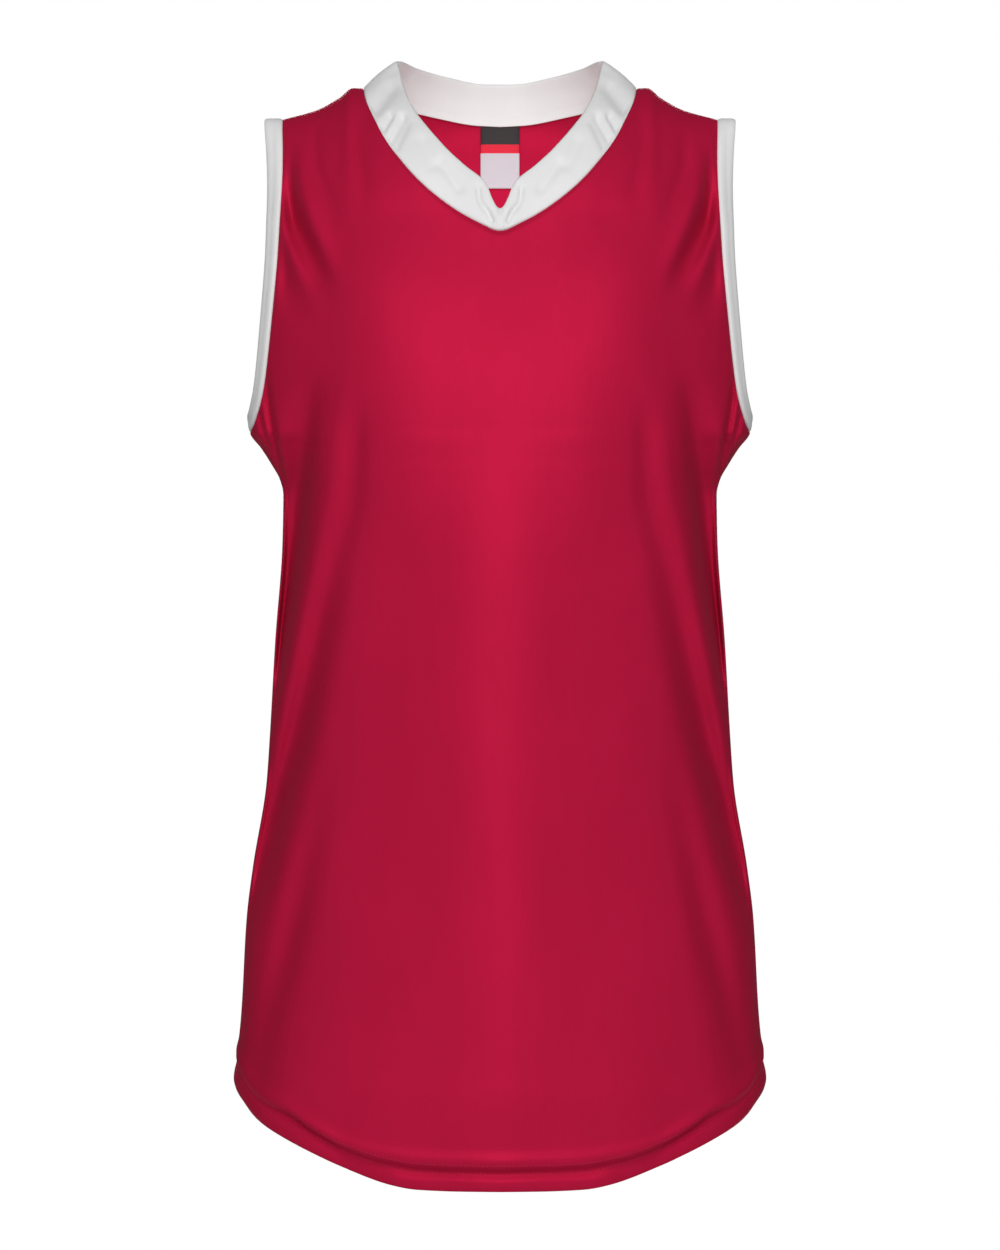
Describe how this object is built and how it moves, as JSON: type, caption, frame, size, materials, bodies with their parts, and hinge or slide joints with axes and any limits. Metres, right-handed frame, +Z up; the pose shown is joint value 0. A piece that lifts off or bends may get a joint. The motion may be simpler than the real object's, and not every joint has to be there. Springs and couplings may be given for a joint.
{
  "type": "sleeveless softball jersey",
  "caption": "Sleeveless pullover team jersey, filled out as if worn, with a notched V neck band, armhole bands and a curved hem.",
  "frame": {"origin": "midway between the two points where the shoulder seams meet the neck seam, at their height, where the wearer's shoulders hold the jersey up", "axes": "+X to the viewer's right as the front is seen, +Y from the front to the back, +Z up"},
  "size_m": [0.3534, 0.2517, 0.7325],
  "materials": {
    "body_knit": "red polyester interlock knit, smooth, with a faint sheen",
    "band_knit": "white polyester knit, folded double",
    "label_tape": "woven satin tape, blank"
  },
  "bodies": {
    "root": {"front_panel": "body_knit", "back_panel": "body_knit", "neck_band": "band_knit", "armhole_band_left": "band_knit", "armhole_band_right": "band_knit", "neck_label": "label_tape"}
  },
  "joints": []
}
